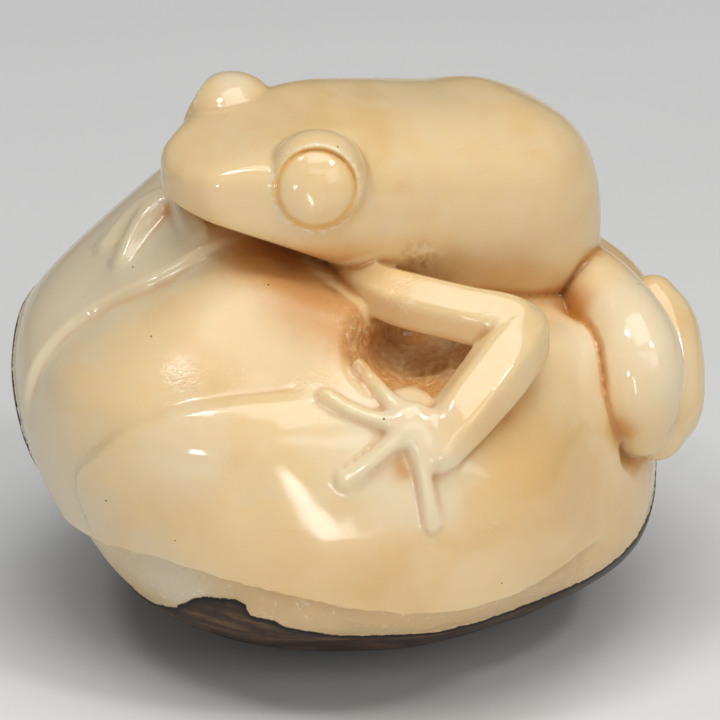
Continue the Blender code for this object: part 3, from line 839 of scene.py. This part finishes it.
def tagua_finish():
    """Polished tagua: warm cream that light sinks into, with stain and painted shade in its creases, and dark
    skin.
    """
    made = Finish("tagua")
    cream, honey, ivory = paint(238, 210, 160), paint(226, 184, 122), paint(240, 224, 192)
    amber, brown, deep = paint(208, 142, 66), paint(122, 74, 32), paint(74, 42, 18)
    grey, band_brown, rim_white = paint(222, 210, 184), paint(204, 172, 126), paint(246, 238, 220)
    ring_gold, crumb_and_glint = paint(224, 168, 78), paint(252, 232, 190)
    bark, bark_worn, bark_edge = paint(50, 31, 17), paint(110, 78, 46), paint(18, 9, 5)

    crease, nook = made.attribute("crease"), made.attribute("nook")
    torn_grain, over = made.attribute("torn"), made.attribute("above_skin")
    band, scratched_and_glinting = made.attribute("band"), made.attribute("scratched_and_glinting")
    clouds = made.noise(9.0, 3.0, 0.5, distortion=0.4)
    fine_clouds = made.noise(2.6, 3.0, 0.55)
    crumbs = made.noise(0.5, 4.0, 0.7)
    patchy = fine_clouds - 0.5
    streaks = made.noise(0.6, 3.0, 0.55, made.stretched((9.0, 9.0, 0.5))) - 0.5

    body = made.mix(clouds.rise(0.40, 0.70) * 0.6, cream, honey)
    body = made.mix(fine_clouds.rise(0.45, 0.8) * 0.22, body, ivory)
    body = made.mix(streaks.rise(0.0, 0.3) * 0.15, body, honey)
    body = made.mix((made.attribute("honeyed") + patchy * 0.6).rise(0.0, 1.0) * 0.6, body, honey)
    body = made.mix(band * (0.6 + patchy * 0.6), body, band_brown)
    body = made.mix((made.attribute("grey") + patchy * 0.6).rise(0.0, 0.9) * 0.8, body, grey)
    body = made.mix((made.attribute("pale") + patchy * 0.6).rise(0.05, 0.9) * 0.75, body, ivory)

    # Amber where the nooks lie deep, brown deeper in them and deep brown in the fine creases: stain and
    # painted shade together.
    body = made.mix((nook + patchy * 0.5).rise(0.15, 1.3) * 0.75, body, amber)
    # Amber and brown places: stain and painted shade under the jaw, about the arm, between the fingers and in
    # the groove.
    body = made.mix((made.attribute("amber") + patchy * 0.6).rise(0.05, 1.0) * 0.75, body, amber)
    body = made.mix((crease + patchy * 0.06).rise(0.04, 0.24) * 0.5, body, amber)
    body = made.mix((made.attribute("brown") + patchy * 0.5).rise(0.1, 0.9) * 0.8, body, brown)
    body = made.mix((nook + crumbs * 0.4).rise(1.3, 2.4) * 0.7, body, brown)
    body = made.mix(crease.rise(0.22, 0.6) * 0.6, body, deep)

    # Torn grain: brown crumbs, and pale flecks that are partly its crumbs and partly painted glints of its
    # crystals.
    body = made.mix(torn_grain * crumbs.rise(0.50, 0.36) * 0.3, body, brown)
    body = made.mix(torn_grain * crumbs.rise(0.54, 0.64) * 0.6, body, crumb_and_glint)
    # White crumbs: the chips of the band under the lip, and on the scratched places partly scratches and
    # partly painted highlights.
    body = made.mix((band + scratched_and_glinting) * crumbs.rise(0.58, 0.68) * 0.45, body, rim_white)

    body = made.mix(made.attribute("ring") * crumbs.rise(0.25, 0.5) * 0.75, body, ring_gold)
    body = made.mix(made.attribute("rim") * crumbs.rise(0.42, 0.6) * 0.6, body, rim_white)
    body = made.mix(made.specks(1.7, 0.11, 0.10) * 0.8, body, deep)
    body = made.mix(made.specks(1.3, 0.10, 0.10, 0.5) * 0.5, body, rim_white)

    ragged = over + (made.noise(0.5, 4.0, 0.6) - 0.5) * 0.25
    skin = ragged.rise(0.04, -0.04)
    worn = made.noise(1.6, 5.0, 0.65, made.stretched((1.8, 1.8, 0.6)))
    hide = made.mix(worn.rise(0.45, 0.65) * 0.8, bark, bark_worn)
    hide = made.mix(ragged.rise(-0.8, -0.2), hide, bark_edge)
    body = made.mix(skin, body, hide)

    smudges = made.noise(3.0, 4.0, 0.6)
    scratches = made.noise(0.45, 2.0, 0.6, made.stretched((5.0, 0.6, 0.9), (0.0, 0.5, 0.4)))
    roughness = 0.05 + smudges * 0.10 + torn_grain * 0.35 + band * 0.3 + skin * 0.3
    roughness = roughness + made.attribute("dull").rise(0.1, 0.8) * 0.3
    roughness = roughness + scratched_and_glinting * scratches.rise(0.45, 0.6) * 0.35

    relief = made.noise(1.1, 3.0, 0.55) * 0.3 + streaks * 0.25
    relief = relief + scratched_and_glinting * scratches * 3.0 + band * crumbs * 1.5
    relief = relief + torn_grain * crumbs * 5.0 + skin * made.noise(0.7, 5.0, 0.7) * 4.0
    bump = made.add("ShaderNodeBump", {}, {"Strength": 1.0, "Distance": 0.02 * MM, "Height": relief})

    shader = made.shader.inputs
    made.feed(shader["Base Color"], body)
    made.feed(shader["Roughness"], roughness)
    made.feed(shader["Normal"], bump)
    shader["IOR"].default_value = 1.52
    shader["Subsurface Weight"].default_value = 0.45
    shader["Subsurface Radius"].default_value = (1.0, 0.5, 0.22)
    shader["Subsurface Scale"].default_value = 1.8 * MM
    return made.material


# Half the floor's side, in metres.
FLOOR_HALF = 1.5


def floor():
    """A pale floor under the carving, wide enough to fill the view."""
    corners = FLOOR_HALF * np.array([(-1, -1, 0), (1, -1, 0), (1, 1, 0), (-1, 1, 0)])
    piece = piece_of("floor", corners, [[0, 1, 2, 3]])
    made = Finish("floor")
    pale = made.mix(made.noise(60.0), paint(226, 226, 226), paint(231, 231, 230))
    made.feed(made.shader.inputs["Base Color"], pale)
    made.shader.inputs["Roughness"].default_value = 0.7
    piece.data.materials.append(made.material)


# The camera looks at the middle of the nut from in front and above, far enough for a flat view.
VIEW_ELEVATION, VIEW_DISTANCE, VIEW_WIDTH = 25.0, 400.0, 54.7
VIEW_AT = np.array([0.0, 0.0, 21.0]) - STANCE
SENSOR = 36.0


def camera():
    """The camera, at the photograph's angle."""
    lens = bpy.data.cameras.new("camera")
    lens.sensor_width = SENSOR
    lens.lens = SENSOR * VIEW_DISTANCE / VIEW_WIDTH
    lens.clip_start, lens.clip_end = 0.01, 10.0
    piece = bpy.data.objects.new("camera", lens)
    away = heading(0, VIEW_ELEVATION)
    piece.location = (VIEW_AT + away * VIEW_DISTANCE) * MM
    piece.rotation_euler = Vector(-away).to_track_quat("-Z", "Y").to_euler()
    bpy.context.scene.collection.objects.link(piece)
    bpy.context.scene.camera = piece


# Softboxes: azimuth from the front towards +X, elevation, distance, width, height, roll and power.
SOFTBOXES = {
    "above": (25, 80, 0.70, 0.50, 0.50, 0, 2.7),
    "left": (-58, 63, 0.60, 0.10, 0.10, 0, 0.5),
    "right": (54, 52, 0.60, 0.08, 0.08, 0, 0.5),
    "front left": (-33, 11, 0.70, 0.055, 0.055, 0, 0.3),
    "front": (-7, 1, 0.122, 0.042, 0.010, -62, 0.013),
    "front right": (40, 32, 0.70, 0.30, 0.30, 0, 0.6),
    "high in front": (5, 42, 0.65, 0.30, 0.12, 0, 0.2),
}
SKY = 0.09


def lights():
    """Softboxes around the carving and a plain white surrounding."""
    for name, (azimuth, elevation, distance, width, height, roll, power) in SOFTBOXES.items():
        light = bpy.data.lights.new(name, "AREA")
        light.shape = "RECTANGLE"
        light.size, light.size_y, light.energy = width, height, power
        piece = bpy.data.objects.new(name, light)
        towards = heading(azimuth, elevation)
        piece.location = VIEW_AT * MM + towards * distance
        facing = Vector(towards).to_track_quat("Z", "Y")
        piece.rotation_euler = (facing @ Quaternion((0, 0, 1), np.radians(roll))).to_euler()
        bpy.context.scene.collection.objects.link(piece)
    world = bpy.data.worlds.new("studio")
    world.use_nodes = True
    world.node_tree.nodes["Background"].inputs["Color"].default_value = (1.0, 1.0, 1.0, 1.0)
    world.node_tree.nodes["Background"].inputs["Strength"].default_value = SKY
    bpy.context.scene.world = world
    bpy.context.scene.view_settings.view_transform = "Standard"


camera()
frog_piece = carving()
frog_piece.data.materials.append(tagua_finish())
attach(frog_piece, "root")
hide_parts(NODE)
floor()
lights()
